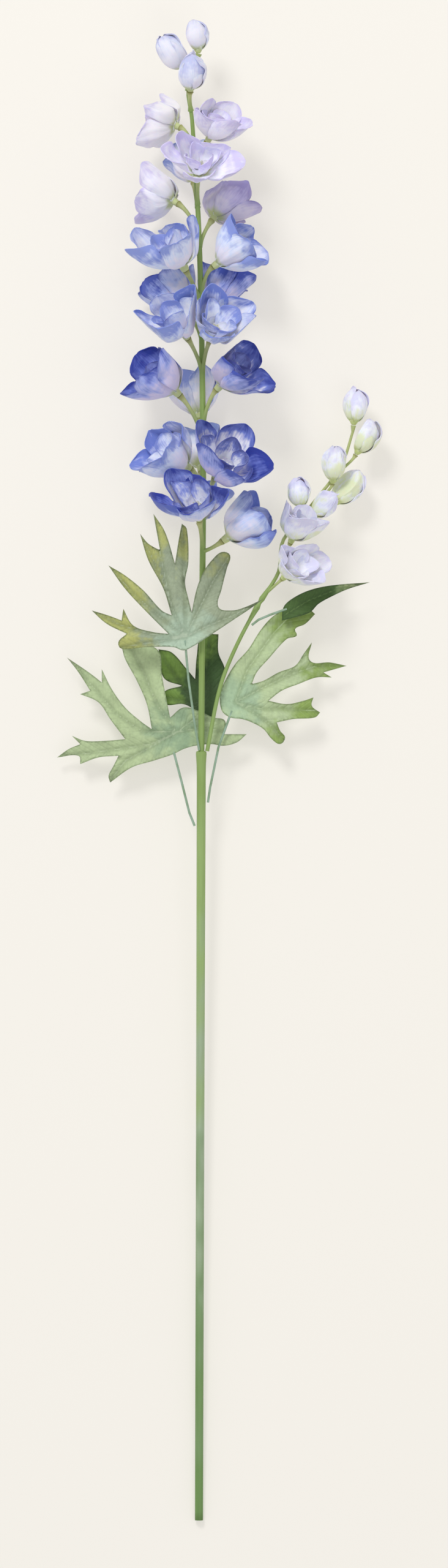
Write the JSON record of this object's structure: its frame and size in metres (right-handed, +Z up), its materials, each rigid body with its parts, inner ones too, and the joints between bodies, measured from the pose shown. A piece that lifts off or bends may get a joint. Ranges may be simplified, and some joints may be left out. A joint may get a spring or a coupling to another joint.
{
  "type": "delphinium flower spike",
  "caption": "Cut delphinium spike lying flat: a tall head of full blue flowers that pale towards the tip, small closed buds, a slim pale side spray and deeply cut leaves.",
  "frame": {"origin": "middle of the whole spike's outline, on the table on which it lies", "axes": "+Y along the stem from its cut end to its tip, +Z up from the table, +X to the right of someone who looks down on it"},
  "size_m": [0.1962, 0.9005, 0.0844],
  "materials": {
    "moulded_stem": "matt moulded plastic, mid green",
    "leaf_cloth": "printed cloth, grey green to yellow green",
    "petal_cloth_deep": "printed cloth, deep blue with violet",
    "petal_cloth_mid": "printed cloth, mid blue",
    "petal_cloth_pale": "printed cloth, pale lilac",
    "petal_cloth_white": "printed cloth, white with a lilac tinge",
    "pale_tuft": "matt off-white fibre"
  },
  "bodies": {
    "root": {"main_stem": "moulded_stem", "side_stem": "moulded_stem", "leaf_upper": "leaf_cloth", "leaf_left": "leaf_cloth", "leaf_right": "leaf_cloth", "leaf_back": "leaf_cloth", "leaf_small": "leaf_cloth", "bloom_01": "petal_cloth_deep", "bee_01": "pale_tuft", "bloom_02": "petal_cloth_deep", "bee_02": "pale_tuft", "bloom_03": "petal_cloth_deep", "bee_03": "pale_tuft", "bloom_04": "petal_cloth_deep", "bee_04": "pale_tuft", "bloom_05": "petal_cloth_mid", "bee_05": "pale_tuft", "bloom_06": "petal_cloth_deep", "bee_06": "pale_tuft", "bloom_07": "petal_cloth_deep", "bee_07": "pale_tuft", "bloom_08": "petal_cloth_mid", "bee_08": "pale_tuft", "bloom_09": "petal_cloth_mid", "bee_09": "pale_tuft", "bloom_10": "petal_cloth_deep", "bee_10": "pale_tuft", "bloom_11": "petal_cloth_deep", "bee_11": "pale_tuft", "bloom_12": "petal_cloth_mid", "bee_12": "pale_tuft", "bloom_13": "petal_cloth_mid", "bee_13": "pale_tuft", "bloom_14": "petal_cloth_pale", "bee_14": "pale_tuft", "bloom_15": "petal_cloth_pale", "bee_15": "pale_tuft", "bloom_16": "petal_cloth_pale", "bee_16": "pale_tuft", "bloom_17": "petal_cloth_pale", "bee_17": "pale_tuft", "bloom_18": "petal_cloth_pale", "bee_18": "pale_tuft", "bloom_19": "petal_cloth_pale", "bee_19": "pale_tuft", "bloom_20": "petal_cloth_mid", "bee_20": "pale_tuft", "bloom_21": "petal_cloth_mid", "bee_21": "pale_tuft", "bud_01": "petal_cloth_pale", "bud_02": "petal_cloth_pale", "bud_03": "petal_cloth_pale", "side_bud_01": "petal_cloth_white", "side_bud_02": "petal_cloth_white", "side_bud_03": "petal_cloth_white", "side_bud_04": "petal_cloth_white", "side_bud_05": "petal_cloth_white", "side_bud_06": "petal_cloth_white", "side_bud_07": "petal_cloth_white", "side_bud_08": "petal_cloth_white"}
  },
  "joints": []
}
